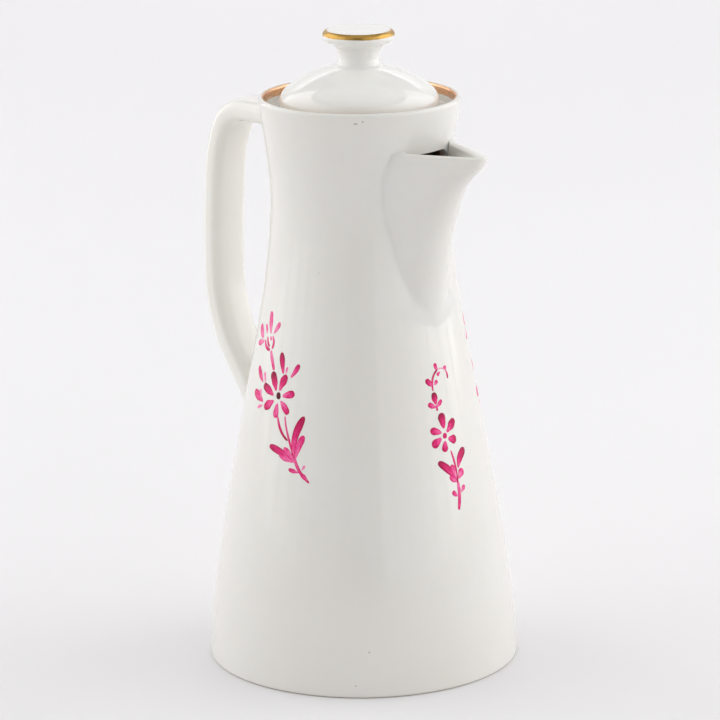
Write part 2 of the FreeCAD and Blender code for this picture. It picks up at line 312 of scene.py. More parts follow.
def porcelain(name, foot=False, shade_paint=None, marks=(), white=(1.0, 1.0, 1.0), pale=False):
    """Glazed hard porcelain: warm white body under a clear glossy glaze, with
    faint clouding, a few pin specks and a slightly wavy surface."""
    m, nt, bsdf = tree_of(name)
    at = node(nt, "TexCoord").outputs["Object"]
    cloud = noise(nt, at, 22.0, 4.0, 0.55)
    fine = noise(nt, at, 240.0, 3.0, 0.6)
    # white lifts the colour above the pot's own: the lighter copies made with it for the handle, the lid and the
    # knob are painted light
    hue = [tuple(min(0.9, k * w) for k, w in zip(c, white)) for c in (
        (0.775, 0.764, 0.728), (0.762, 0.744, 0.696), (0.742, 0.727, 0.686))]
    colour = mix(nt, span(nt, cloud, 0.32, 0.70), hue[0], hue[1])
    colour = mix(nt, span(nt, fine, 0.35, 0.75, 0.0, 0.35), colour, hue[2])
    # pin specks in the glaze
    vor = node(nt, "TexVoronoi")
    vor.feature = "F1"
    vor.inputs["Scale"].default_value = 95.0
    nt.links.new(at, vor.inputs["Vector"])
    few = noise(nt, at, 31.0, 1.0, 0.5)
    speck = math_node(nt, "MULTIPLY",
                      span(nt, vor.outputs["Distance"], 0.020, 0.034, 1.0, 0.0),
                      span(nt, few, 0.60, 0.66))
    colour = mix(nt, math_node(nt, "MULTIPLY", speck, 0.55), colour,
                 (0.24, 0.20, 0.15))
    pos = node(nt, "SeparateXYZ")
    nt.links.new(at, pos.inputs[0])
    rough = span(nt, noise(nt, at, 55.0, 3.0, 0.6), 0.3, 0.75, 0.080, 0.130)
    for deg, mz, size in marks:
        mr = float(wall(mz))
        mx, my = mr * math.cos(math.radians(deg)), mr * math.sin(math.radians(deg))
        d = node(nt, "VectorMath")
        d.operation = "DISTANCE"
        nt.links.new(at, d.inputs[0])
        d.inputs[1].default_value = (mx * MM, my * MM, mz * MM)
        ragged = math_node(nt, "ADD", d.outputs["Value"],
                           span(nt, fine, 0.3, 0.7, -0.35 * size * MM, 0.35 * size * MM))
        hit = span(nt, ragged, 0.5 * size * MM, 0.9 * size * MM, 0.75, 0.0)
        colour = mix(nt, hit, colour, (0.16, 0.15, 0.14))
        rough = math_node(nt, "ADD", rough, math_node(nt, "MULTIPLY", hit, 0.4))
    # painted light: the inside of the spout's channel is given a lighter colour, standing in for light down in
    # the recess
    if pale:
        side = node(nt, "Attribute")
        side.attribute_name = "inside"
        colour = mix(nt, side.outputs["Fac"], colour, (0.94, 0.925, 0.885))
    # painted shade: the mask passed in lays a brown darkening where the recesses lie in shade
    if shade_paint:
        brown = shade_paint(nt, at, pos)
        shade = mix(nt, noise(nt, at, 60.0, 4.0, 0.6), (0.30, 0.165, 0.08),
                    (0.46, 0.30, 0.18))
        colour = mix(nt, brown, colour, shade)
        rough = math_node(nt, "ADD", rough, math_node(nt, "MULTIPLY", brown, 0.22))
    if foot:
        bare = math_node(nt, "MULTIPLY",
                         span(nt, pos.outputs["Z"], 0.0003, 0.0008, 1.0, 0.0),
                         span(nt, fine, 0.2, 0.5, 0.75, 1.0))
        colour = mix(nt, bare, colour, (0.60, 0.565, 0.50))
        rough = math_node(nt, "ADD", rough, math_node(nt, "MULTIPLY", bare, 0.6))
    nt.links.new(colour, bsdf.inputs["Base Color"])
    nt.links.new(rough, bsdf.inputs["Roughness"])
    bsdf.inputs["IOR"].default_value = 1.52
    bsdf.inputs["Subsurface Weight"].default_value = 0.12
    bsdf.inputs["Subsurface Radius"].default_value = (0.0030, 0.0026, 0.0020)
    bsdf.inputs["Subsurface Scale"].default_value = 1.0
    bsdf.inputs["Coat Weight"].default_value = 0.25
    bsdf.inputs["Coat Roughness"].default_value = 0.09
    bump = node(nt, "Bump")
    bump.inputs["Strength"].default_value = 0.10
    bump.inputs["Distance"].default_value = 0.0006
    wavy = math_node(nt, "ADD", noise(nt, at, 38.0, 1.0, 0.4),
                     math_node(nt, "MULTIPLY", noise(nt, at, 420.0, 2.0, 0.5), 0.06))
    nt.links.new(wavy, bump.inputs["Height"])
    nt.links.new(bump.outputs[0], bsdf.inputs["Normal"])
    return m


def inside_painted_shade(nt, at, pos):
    """Painted shade, brown, on the inner wall round the way into the spout."""
    side = node(nt, "Attribute")
    side.attribute_name = "inside"
    ragged = math_node(nt, "MULTIPLY", noise(nt, at, 40.0, 4.0, 0.6), 0.012)
    z = math_node(nt, "ADD", pos.outputs["Z"], ragged)
    band = math_node(nt, "MULTIPLY", span(nt, z, 0.2035, 0.2095, 0.9, 0.0),
                     span(nt, z, 0.030, 0.150, 0.25, 1.0))
    return math_node(nt, "MULTIPLY", math_node(nt, "MULTIPLY", side.outputs["Fac"], band),
                     span(nt, pos.outputs["X"], -0.030, 0.030, 0.35, 1.0))


def channel_painted_shade(nt, at, pos):
    """Painted shade, brown, down in the spout, fading towards the tip and the lip."""
    ragged = math_node(nt, "MULTIPLY", noise(nt, at, 70.0, 4.0, 0.6), 0.008)
    x = math_node(nt, "ADD", pos.outputs["X"], ragged)
    z = math_node(nt, "ADD", pos.outputs["Z"], ragged)
    depth = node(nt, "Attribute")
    depth.attribute_name = "inside"
    return math_node(nt, "MULTIPLY", depth.outputs["Fac"],
                     math_node(nt, "MULTIPLY", span(nt, z, 0.1970, 0.1830, 0.0, 1.0),
                               span(nt, x, 0.058, 0.040, 0.0, 0.45)))


def gilding(name, tint, deep, streak):
    """Burnished overglaze gold, brushed on by hand round the ring: streaky and worn thin in places."""
    m, nt, bsdf = tree_of(name)
    at = node(nt, "TexCoord").outputs["Object"]
    turn = node(nt, "Attribute")
    turn.attribute_name = "band"
    stretch = node(nt, "VectorMath")
    stretch.operation = "MULTIPLY"
    nt.links.new(turn.outputs["Vector"], stretch.inputs[0])
    stretch.inputs[1].default_value = (0.22, streak, 1.0)
    brush = noise(nt, stretch.outputs[0], 9.0, 4.0, 0.6)
    patch = noise(nt, at, 120.0, 3.0, 0.6)
    colour = mix(nt, span(nt, brush, 0.3, 0.7), tint, deep)
    worn = span(nt, math_node(nt, "ADD", patch, math_node(nt, "MULTIPLY", brush, 0.35)),
                0.84, 0.96)
    colour = mix(nt, math_node(nt, "MULTIPLY", worn, 0.6), colour, (0.78, 0.62, 0.45))
    nt.links.new(colour, bsdf.inputs["Base Color"])
    nt.links.new(span(nt, brush, 0.25, 0.75, 0.16, 0.36), bsdf.inputs["Roughness"])
    nt.links.new(span(nt, worn, 0.0, 1.0, 1.0, 0.55), bsdf.inputs["Metallic"])
    bump = node(nt, "Bump")
    bump.inputs["Strength"].default_value = 0.25
    bump.inputs["Distance"].default_value = 0.0002
    nt.links.new(brush, bump.inputs["Height"])
    nt.links.new(bump.outputs[0], bsdf.inputs["Normal"])
    return m


def enamel(name):
    """Purple-pink painting over the glaze: each brush stroke is pale where it
    leaves the brush, pools darker along its edges and at its round end."""
    m, nt, bsdf = tree_of(name)
    at = node(nt, "TexCoord").outputs["Object"]
    st = node(nt, "Attribute")
    st.attribute_name = "stroke"      # along, across, tone
    sep = node(nt, "SeparateXYZ")
    nt.links.new(st.outputs["Vector"], sep.inputs[0])
    t, c, tone = sep.outputs[0], sep.outputs[1], sep.outputs[2]
    # bristle streaks run along the stroke
    lane = node(nt, "CombineXYZ")
    nt.links.new(math_node(nt, "MULTIPLY", t, 1.3), lane.inputs[0])
    nt.links.new(math_node(nt, "MULTIPLY", c, 3.2), lane.inputs[1])
    nt.links.new(math_node(nt, "MULTIPLY", tone, 37.0), lane.inputs[2])
    streak = noise(nt, lane.outputs[0], 2.4, 3.0, 0.6, 0.3)
    blot = noise(nt, at, 420.0, 3.0, 0.6)
    edge = math_node(nt, "POWER", math_node(nt, "ABSOLUTE", c), 2.6)
    base = math_node(nt, "MULTIPLY", tone, 0.40)
    tip = math_node(nt, "MULTIPLY", math_node(nt, "MULTIPLY", tone, 0.46),
                    span(nt, t, 0.20, 1.0, 0.0, 1.0, "SMOOTHSTEP"))
    rim = math_node(nt, "MULTIPLY", math_node(nt, "MULTIPLY", edge, 0.28),
                    span(nt, tone, 0.0, 1.0, 0.40, 1.0))
    load = math_node(nt, "ADD", math_node(nt, "ADD", base, tip), rim)
    load = math_node(nt, "ADD", load, span(nt, streak, 0.25, 0.75, -0.26, 0.22))
    load = math_node(nt, "ADD", load, span(nt, blot, 0.3, 0.7, -0.09, 0.09))
    ramp = node(nt, "ValToRGB")
    nt.links.new(load, ramp.inputs[0])
    stops = [(0.00, (0.92, 0.33, 0.55)), (0.18, (0.86, 0.12, 0.35)),
             (0.40, (0.74, 0.020, 0.180)), (0.62, (0.50, 0.008, 0.085)),
             (0.82, (0.29, 0.005, 0.045)), (1.00, (0.105, 0.006, 0.018))]
    cr = ramp.color_ramp
    while len(cr.elements) < len(stops):
        cr.elements.new(0.5)
    for e, (p, col) in zip(cr.elements, stops):
        e.position, e.color = p, (*col, 1.0)
    nt.links.new(ramp.outputs[0], bsdf.inputs["Base Color"])
    nt.links.new(span(nt, blot, 0.3, 0.7, 0.14, 0.26), bsdf.inputs["Roughness"])
    bsdf.inputs["IOR"].default_value = 1.42
    bsdf.inputs["Specular IOR Level"].default_value = 0.2
    bump = node(nt, "Bump")
    bump.inputs["Strength"].default_value = 0.15
    bump.inputs["Distance"].default_value = 0.0002
    nt.links.new(streak, bump.inputs["Height"])
    nt.links.new(bump.outputs[0], bsdf.inputs["Normal"])
    return m


# -------------------------------------------------------------------- pot body
SECT = np.array(SPOUT, float)
seam = np.array([SPOUT_SEAM_LOW] + [float(wall(z)) for z in SECT[1:, 0]])
REACH = Spline(SECT[:, 0], SECT[:, 1])
KEEL = Spline(SECT[:, 0], SECT[:, 2])
KEEL_IN = Spline(SECT[:, 0], CHANNEL_KEEL)
SEAM_X = Spline(SECT[:, 0], np.sqrt(seam ** 2 - SECT[:, 3] ** 2))
SEAM_Y = Spline(SECT[:, 0], SECT[:, 3])


def flank(z, keel=None):
    """Seam point and heading of the spout's flank in the plane at a height."""
    z = np.asarray(z, float)
    px, py, keel = SEAM_X(z), SEAM_Y(z), (keel or KEEL)(z)
    cx = REACH(z) - keel
    d = np.hypot(cx - px, py)
    head = np.arctan2(-py, cx - px) + np.arcsin(np.minimum(0.999, keel / d))
    return px, py, cx, keel, head


def thick(z):
    """The spout's wall, a little thicker down in the channel."""
    return SPOUT_WALL + 1.6 * smooth((SPOUT_TOP - np.asarray(z, float)) / 9.0)


def channel_half(z):
    """Where the channel's side meets the pot's wall."""
    px, py, cx, keel, head = flank(z, KEEL_IN)
    body = np.hypot(px, py)
    qx, qy = px + thick(z) * np.sin(head), py - thick(z) * np.cos(head)
    for _ in range(30):
        step = (body - np.hypot(qx, qy)) / np.maximum(0.2, np.cos(head - np.arctan2(qy, qx)))
        qx, qy = qx + step * np.cos(head), qy + step * np.sin(head)
    return qx, qy


HOLE_ROUND, HOLE_ARCH = 2.6, 6.5


def hole_half(z):
    """Half width of the way through the wall, with rounded corners."""
    zc = min(max(z, HOLE_BOTTOM), HOLE_TOP)
    w = float(channel_half(zc)[1]) - HOLE_STEP
    for edge, r in ((zc - HOLE_BOTTOM, HOLE_ROUND), (HOLE_TOP - zc, HOLE_ARCH)):
        if edge < r:
            w -= r - math.sqrt(max(0.0, r * r - (r - edge) ** 2))
    return w


N = 240
HOLE_COLS = 12
hole_rows = [HOLE_BOTTOM + d for d in (0, 0.25, 0.8, 1.6, 2.6)] \
    + list(np.linspace(HOLE_BOTTOM + 5, HOLE_TOP - 8, 20)) \
    + [HOLE_TOP - d for d in (6.5, 5.2, 4.0, 3.0, 2.1, 1.35, 0.75, 0.33, 0.08, 0)]
low_rows = list(np.linspace(20.0, HOLE_BOTTOM - 2.0, 60))
top_rows = [201.0, 202.2, 203.4]
shared = low_rows + hole_rows + top_rows

foot = rounded([(0.0, 3.6), (49.8, 3.6), (51.0, 0.0), (58.95, 0.0), (58.95, 1.0)],
               [0, 1.4, 0.55, 0.999, 0], 7)
prof = [("u", p) for p in foot[1:-1]]
for r in (44.0, 34.0, 22.0, 10.0):
    prof.insert(0, ("u", np.array([r, 3.6])))
prof += [("o", (float(wall(z)), z)) for z in (1.0, 2.0, 3.5, 5.5, 8.0, 11.0, 14.0, 17.0)]
first_out = len(prof)
prof += [("o", (float(wall(z)), z)) for z in shared]
prof += [("o", (float(wall(z)), z)) for z in (204.6, 206.2, 208.0, 210.0, 212.0, 213.6, 214.8)]
lip_c = (37.90 - LIP_R, LIP_Z)
prof += [("l", p) for p in arc(lip_c, LIP_R, 0, 180, 15)]
root = (float(wall(LEDGE_ROOT_Z)) - WALL, LEDGE_ROOT_Z)
below = (float(wall(203.9)) - WALL, 203.9)
gal = rounded([(lip_c[0] - LIP_R, LIP_Z), (GALLERY_R, GALLERY_Z), (SEAT_R, GALLERY_Z),
               (SEAT_R, LEDGE_EDGE_Z), root, below], [0, 0.9, 0.45, 0.6, 0.45, 0], 6)
prof += [("l", p) for p in gal[1:-1]]
first_in = len(prof)
prof += [("i", (float(wall(z)) - WALL, z)) for z in shared[::-1]]
corner = (float(wall(16.0)) - WALL - 8.0, 16.0)
prof += [("f", p) for p in arc(corner, 8.0, 0, -90, 9)]
prof += [("f", (r, FLOOR_Z)) for r in (38.0, 28.0, 18.0, 8.0)]

u = (np.arange(N) - N // 2) * 360.0 / N
uh = HOLE_COLS * 360.0 / N
verts = []
for kind, (r, z) in prof:
    th = u.copy()
    if kind in "oi" and 120.0 < z < 204.5:
        half = math.degrees(math.asin(min(0.95, hole_half(z) / r)))
        near = float(smooth((z - 126.0) / 20.0)) * float(1 - smooth((z - 200.4) / 3.6))
        half = uh + (half - uh) * near
        a = np.abs(u)
        inside = a <= uh
        th = np.where(inside, a * half / uh, half + (a - uh) * (70.0 - half) / (70.0 - uh))
        th = np.where(a >= 70.0, a, th) * np.sign(u)
    th = np.radians(th)
    verts.append(np.stack([r * np.cos(th), r * np.sin(th), np.full(N, z)], 1))
rows = len(verts)
verts = np.concatenate(verts)
mid = N // 2
a0, a1 = first_out + len(low_rows), first_out + len(low_rows) + len(hole_rows) - 1
n_sh = len(shared)
# matching rows of the inner wall, which runs downwards
b0, b1 = first_in + n_sh - 1 - len(low_rows), first_in + n_sh - len(low_rows) - len(hole_rows)


def opp(row):
    return first_in + n_sh - 1 - (row - first_out)


faces = []
for j in range(rows - 1):
    hole_out = a0 <= j < a1
    hole_in = b1 <= j < b0
    for i in range(N):
        if (hole_out or hole_in) and mid - HOLE_COLS <= i < mid + HOLE_COLS:
            continue
        faces.append((j * N + i, j * N + (i + 1) % N, (j + 1) * N + (i + 1) % N, (j + 1) * N + i))
for j in range(a0, a1):
    for i in (mid - HOLE_COLS, mid + HOLE_COLS):
        faces.append((j * N + i, (j + 1) * N + i, opp(j + 1) * N + i, opp(j) * N + i))
for j in (a0, a1):
    for i in range(mid - HOLE_COLS, mid + HOLE_COLS):
        faces.append((j * N + i, j * N + i + 1, opp(j) * N + i + 1, opp(j) * N + i))
verts = np.vstack([verts, [[0, 0, 3.6], [0, 0, FLOOR_Z]]])
c_low, c_in = len(verts) - 2, len(verts) - 1
faces += [(c_low, (i + 1) % N, i) for i in range(N)]
faces += [(c_in, (rows - 1) * N + i, (rows - 1) * N + (i + 1) % N) for i in range(N)]

glaze_body = porcelain("porcelain_pot", foot=True, shade_paint=inside_painted_shade,
                       marks=[(-50.1, 213.4, 0.42), (-49.0, 213.5, 0.36), (-45.7, 214.3, 0.50),
                              (-50.6, 5.0, 0.36), (-45.6, 17.8, 0.33)])
glaze_spout = porcelain("porcelain_spout", shade_paint=channel_painted_shade, pale=True)
# painted light: the handle's glaze and the lid's and knob's glaze are lighter copies of the pot's
glaze_strap_painted_light = porcelain("porcelain_strap_painted_light", white=(1.10, 1.10, 1.10))
glaze = porcelain("porcelain_plain_painted_light", white=(1.10, 1.115, 1.135))
# painted light and shade: one gilding, tinted lighter and coppery on the rim and darker on the knob
gold_rim_painted_lighter = gilding("gold_rim_painted_lighter", (0.80, 0.50, 0.31), (0.62, 0.36, 0.19), 0.9)
gold_knob_painted_darker = gilding("gold_knob_painted_darker", (0.60, 0.37, 0.095), (0.40, 0.23, 0.055), 0.9)
pink = enamel("painted_pink")

side = np.array([1.0 if kind in "if" else 0.0 for kind, _ in prof for _ in range(N)] + [0.0, 1.0])
# the points of the grid that fall inside the hole belong to no face
used = np.zeros(len(verts), bool)
for f in faces:
    used[list(f)] = True
place_of = np.cumsum(used) - 1
faces = [tuple(place_of[list(f)]) for f in faces]
pot = make("body_porcelain", verts[used], faces, glaze_body, "pot", "pot_body")
att = pot.data.attributes.new("inside", "FLOAT", "POINT")
att.data.foreach_set("value", side[used])


# ----------------------------------------------------------------------- spout
def ray_hit(theta, px, py, cx, keel, head):
    """Distance along the rays at angles theta to a section of two straight
    flanks and a round keel; beyond the seam it falls away into the pot."""
    t = np.abs(theta)
    nx, ny = -np.sin(head), np.cos(head)
    dist = nx * px + ny * py
    line = dist / np.maximum(1e-3, nx * np.cos(t) + ny * np.sin(t))
    ta = np.arctan2(keel * ny, cx + keel * nx)          # flank touches keel
    circ = cx * np.cos(t) + np.sqrt(np.maximum(0.0, keel ** 2 - (cx * np.sin(t)) ** 2))
    tp = np.arctan2(py, px)
    body = np.hypot(px, py)
    slope = dist * (-nx * np.sin(tp) + ny * np.cos(tp)) / np.maximum(1e-3, nx * np.cos(tp) + ny * np.sin(tp)) ** 2
    fall = body - (t - tp) * np.maximum(4.0, slope)
    return np.where(t < ta, circ, np.where(t < tp, line, fall))


def smax(a, b, k):
    h = np.clip(1 - np.abs(a - b) / k, 0, 1)
    return np.maximum(a, b) + h * h * k / 4


def fillet_of(z):
    """Softness of the crease: much the same width all the way down, whatever
    the angle at which the flank leaves the wall."""
    px, py, cx, keel, head = flank(z)
    tp = np.arctan2(py, px)
    steep = np.abs(np.sin(head + math.pi / 2 - tp)) / np.maximum(0.05, np.abs(np.cos(head + math.pi / 2 - tp)))
    root = 0.95 * (1 - smooth((z - 137.0) / 16.0))
    return np.maximum(np.clip(CREASE * steep, 0.12, 1.0), root)


CREASE = 0.9
SINK = 0.004     # the spout's skin passes just under the pot's where it ends
Z0 = 131.5


def outer_at(theta, z):
    base = wall(z) + 0 * theta
    lift = smax(base, ray_hit(theta, *flank(z)), fillet_of(z)) - base
    return base + lift * smooth((z - Z0) / 3.0) - SINK


def inner_at(theta, z):
    """Channel side of the spout's wall, or a skin just under the pot's wall."""
    ik = np.maximum(0.8, KEEL_IN(z) - thick(z) * 0.75)
    icx = REACH(z) - thick(z) - ik
    qx, qy = channel_half(z)
    d = np.hypot(icx - qx, qy)
    ih = np.arctan2(-qy, icx - qx) + np.arcsin(np.minimum(0.999, ik / d))
    hit = ray_hit(theta, qx, qy, icx, ik, ih)
    # a soft corner where the channel's side comes out of the pot's wall
    over = hit - wall(z)
    hit = wall(z) + np.where(over > 0, over * smooth(over / 2.6), over)
    base = wall(z) - 0.3
    deep = smooth((z - 146.0) / 6.5)
    return np.maximum(base, base + (hit - base) * deep)


COLS = 181
fine = np.radians(np.linspace(0, 42.0, 4201))


def columns(z):
    """Angles of the mesh columns at a height, closer where the section turns."""
    lift = outer_at(fine, np.full_like(fine, z)) - float(wall(z)) + SINK
    on = np.nonzero(lift > 1e-7)[0]
    edge = fine[on.max()] if len(on) else 0.0
    edge = max(edge, math.radians(3.0)) + 0.3 / float(wall(z))
    t = np.linspace(0, edge, 1500)
    r = outer_at(t, np.full_like(t, z))
    x, y = r * np.cos(t), r * np.sin(t)
    ds = np.hypot(np.diff(x), np.diff(y))
    ang = np.unwrap(np.arctan2(np.diff(y), np.diff(x)))
    turn = np.abs(np.diff(ang, prepend=ang[0]))
    w = np.concatenate([[0], np.cumsum(ds + 5.0 * turn)])
    half = np.interp(np.linspace(0, w[-1], COLS // 2 + 1), w, t)
    return np.concatenate([-half[:0:-1], half])


table_z = np.linspace(Z0, SPOUT_TOP, 141)
table_t = np.array([columns(q) for q in table_z])


def cols_at(z):
    """Column angles for a height of its own in every column."""
    i = np.clip(((z - Z0) / (SPOUT_TOP - Z0) * 140), 0, 139.999)
    k = i.astype(int)
    f = i - k
    c = np.arange(COLS)
    return table_t[k, c] * (1 - f) + table_t[k + 1, c] * f


edge_cols = np.minimum(np.arange(COLS), np.arange(COLS)[::-1])
edge_in = smooth(1 - edge_cols / 3.0)


def on_outer(z):
    t = cols_at(z)
    return t, outer_at(t, z)


def on_inner(z):
    t = cols_at(z)
    o = outer_at(t, z)
    r = np.minimum(inner_at(t, z), o - 0.02)
    e = np.maximum(edge_in, smooth(1 - (z - Z0) / 1.5))
    return t, r * (1 - e) + o * e


RISE = np.concatenate([np.linspace(0, 0.80, 64), np.linspace(0.80, 1.0, 34)[1:]])
at_top = np.full(COLS, SPOUT_TOP)
lift_top = on_outer(at_top)[1] - wall(at_top)
rho = 1.0 + 1.2 * (1 - smooth(lift_top / 3.0))
top_z = SPOUT_TOP - rho
path = []
for s in RISE:
    z = Z0 + (top_z - Z0) * s
    t, r = on_outer(z)
    path.append((t, r, z, np.zeros(COLS)))
t, ro = on_outer(top_z)
_, ri = on_inner(top_z)
so = (ro - on_outer(top_z - 0.2)[1]) / 0.2           # flare of the two walls
si = (ri - on_inner(top_z - 0.2)[1]) / 0.2
wall_top = wall(at_top)
chan = smooth((inner_at(t, top_z) - wall(top_z) + 0.3) / 1.0)
xo = np.maximum(ro + so * rho, wall_top - SINK)      # sharp outer edge of the lip
xi = ri + si * rho                                   # sharp inner edge
f_up = np.minimum(0.9, np.maximum(0.0, 0.6 * (xo - wall_top)))
for k in range(1, 19):
    # beside the channel: over the lip and down its inner side
    if k <= 9:
        q = k / 9.0
        rt = 0.5 * (xo + xi)
        p = [(ro, top_z), (ro + 0.62 * (xo - ro), top_z + 0.62 * rho),
             (xo + 0.45 * (rt - xo), at_top), (rt, at_top)]
    else:
        q = (k - 9) / 9.0
        p = [(rt, at_top), (xi + 0.45 * (rt - xi), at_top),
             (ri + 0.62 * (xi - ri), top_z + 0.62 * rho), (ri, top_z)]
    c = ((1 - q) ** 3, 3 * q * (1 - q) ** 2, 3 * q * q * (1 - q), q ** 3)
    r_lip, z_lip = (sum(w * pt[i] for w, pt in zip(c, p)) for i in (0, 1))
    # beyond it: over the edge and up on to the pot's wall
    rm = 0.5 * (xo + wall_top)
    rm = np.where(xo - wall_top > 2.0, xo - 1.0, rm)
    if k <= 9:
        p = [(ro, top_z), (ro + 0.62 * (xo - ro), top_z + 0.62 * rho),
             (xo + 0.45 * (rm - xo), at_top), (rm, at_top)]
        r_end, z_end = (sum(w * pt[i] for w, pt in zip(c, p)) for i in (0, 1))
    elif k <= 15:
        q = (k - 9) / 6.0
        f_in = np.minimum(rm - wall_top, f_up)
        r0 = np.maximum(rm - (rm - wall_top - f_in) * min(1.0, 2 * q), wall_top)
        h = max(0.0, 2 * q - 1)
        r_end = np.where(q <= 0.5, r0, wall_top - SINK + f_in * (1 - math.sin(h * math.pi / 2)))
        z_end = at_top + (f_up * (1 - math.cos(h * math.pi / 2)))
        r_end = np.maximum(r_end, wall(z_end) - SINK)
    else:
        q = (k - 15) / 3.0
        r_end = wall(at_top + f_up) - SINK - 0.28 * q
        z_end = at_top + f_up - (f_up + rho) * q
    r = r_lip * chan + r_end * (1 - chan)
    z = z_lip * chan + z_end * (1 - chan)
    e = edge_in
    r = r * (1 - e) + np.minimum(ro, r) * e
    path.append((t, r, z, np.full(COLS, min(1.0, max(0.0, (k - 6) / 10.0))) * chan))
for s in RISE[::-1]:
    z = Z0 + (top_z - Z0) * s
    ti, r = on_inner(z)
    path.append((ti, r, z, chan))
sv = np.concatenate([np.stack([r * np.cos(t), r * np.sin(t), z], 1) for t, r, z, _ in path])
depth = np.concatenate([d for _, _, _, d in path])
# the two ends and the root close on themselves, inside the pot's wall
nr = len(path)
sf = grid_faces(nr, COLS, False, True)
for i in (0, COLS - 1):
    half = len(RISE)
    for j in range(half - 1):
        sf.append((j * COLS + i, (j + 1) * COLS + i, (nr - 2 - j) * COLS + i, (nr - 1 - j) * COLS + i))
    cap = [j * COLS + i for j in range(half - 1, nr - half + 1)]
    sf.append(tuple(cap))
spout = make("spout_porcelain", sv, sf, glaze_spout, "pot", "spout", weld=1e-5)
att = spout.data.attributes.new("inside", "FLOAT", "POINT")
look = {}
for v, d in zip(np.round(sv, 3), depth):
    look[tuple(v)] = max(d, look.get(tuple(v), 0.0))
att.data.foreach_set("value", [look.get(tuple(np.round(np.array(v.co) / MM, 3)), 0.0)
                               for v in spout.data.vertices])

# ---------------------------------------------------------------------- handle
pts, heads = [], []
x, z, head = *HANDLE_START, 0.0
for length, turn in HANDLE_RUNS:
    phi = math.radians(turn)
    steps = max(12, int(length / 0.5))
    for k in range(steps):
        s = k / steps
        if abs(phi) < 1e-9:
            pts.append((x + s * length * math.cos(head), z - s * length * math.sin(head)))
        else:
            rad = length / phi
            a = head + s * phi
            pts.append((x + rad * (math.sin(a) - math.sin(head)),
                        z + rad * (math.cos(a) - math.cos(head))))
        heads.append(head + s * phi)
    if abs(phi) < 1e-9:
        x, z = x + length * math.cos(head), z - length * math.sin(head)
    else:
        rad = length / phi
        x, z = (x + rad * (math.sin(head + phi) - math.sin(head)),
                z + rad * (math.cos(head + phi) - math.cos(head)))
    head += phi
pts.append((x, z))
heads.append(head)
pts = np.array(pts)
heads = np.array(heads)
arc_s = np.concatenate([[0], np.cumsum(np.hypot(*np.diff(pts, axis=0).T))])
# ease the joins of the runs so that the strap's shading flows
kernel = np.hanning(15)
kernel /= kernel.sum()
heads = np.convolve(np.pad(heads, 7, mode="edge"), kernel, "valid")
ctr = np.stack([-pts[:, 0], np.zeros(len(pts)), pts[:, 1]], 1)
nrm = np.stack([-np.sin(heads), np.zeros(len(pts)), np.cos(heads)], 1)


def strap(n):
    """Half-round-edged strap section with slightly crowned faces."""
    w, t, r = HANDLE_W / 2, HANDLE_T / 2, HANDLE_CORNER
    out = []
    for sx, sy, a in ((1, 1, 0), (-1, 1, 90), (-1, -1, 180), (1, -1, 270)):
        for q in np.radians(np.linspace(a, a + 90, n, endpoint=True)):
            out.append((sx * (w - r) + r * math.cos(q), sy * (t - r) + r * math.sin(q)))
    out = np.array(out)
    fill = []
    for i in range(len(out)):
        a, b = out[i], out[(i + 1) % len(out)]
        m = max(1, int(np.linalg.norm(b - a) / 1.1))
        for k in range(m):
            fill.append(a + (b - a) * k / m)
    fill = np.array(fill)
    fall = 1.05 * (fill[:, 0] / w) ** 2
    fill[:, 1] -= np.sign(fill[:, 1]) * fall * (np.abs(fill[:, 1]) / t) ** 1.5
    return fill


sec = strap(9)
K = len(sec)
tang = np.roll(sec, -1, 0) - np.roll(sec, 1, 0)
sec_n = np.stack([tang[:, 1], -tang[:, 0]], 1)
sec_n /= np.linalg.norm(sec_n, axis=1)[:, None]


def gap(p):
    """Distance of points outside the pot's outer wall."""
    r = np.hypot(p[:, 0], p[:, 1])
    sl = wall_slope(p[:, 2])
    return (r - wall(p[:, 2])) / np.sqrt(1 + sl * sl)


def wall_normal(p):
    r = np.hypot(p[:, 0], p[:, 1])
    sl = wall_slope(p[:, 2])
    n = np.stack([p[:, 0] / r, p[:, 1] / r, -sl], 1)
    return n / np.linalg.norm(n, axis=1)[:, None]


def rail(k, s):
    """Point on one lengthwise line of the strap at path lengths s."""
    c = np.stack([np.interp(s, arc_s, ctr[:, i]) for i in range(3)], 1)
    n = np.stack([np.interp(s, arc_s, nrm[:, i]) for i in range(3)], 1)
    return c + n * sec[k, 1] + np.array([0, 1.0, 0]) * sec[k, 0]


S_ALL = np.linspace(0, arc_s[-1], 2400)
BODY_ROWS = np.linspace(0, 1, 100)
ROOT = 12


def foot_run(k, s_hit, back, reach):
    """Soft run of one lengthwise line from the strap on to the pot's wall."""
    a = rail(k, np.array([s_hit + back]))[0]
    v = rail(k, np.array([s_hit]))[0]
    nb = wall_normal(v[None])[0]
    i = np.searchsorted(arc_s, s_hit)
    n3 = nrm[min(i, len(nrm) - 1)] * sec_n[k, 1] + np.array([0, 1.0, 0]) * sec_n[k, 0]
    e = n3 - nb * (n3 @ nb)
    e /= max(1e-6, np.linalg.norm(e))
    end = v + e * reach
    rr = math.hypot(end[0], end[1])
    end[:2] *= (float(wall(end[2])) + 0.0) / rr
    t = np.linspace(0, 1, ROOT + 1)[1:, None]
    run = (1 - t) ** 2 * a + 2 * t * (1 - t) * v + t * t * end
    # keep the run on or above the wall
    g = gap(run)
    run += np.clip(-g, 0, None)[:, None] * wall_normal(run)
    sink = end + e * 0.25 - nb * 0.12
    return np.vstack([run, sink[None]])


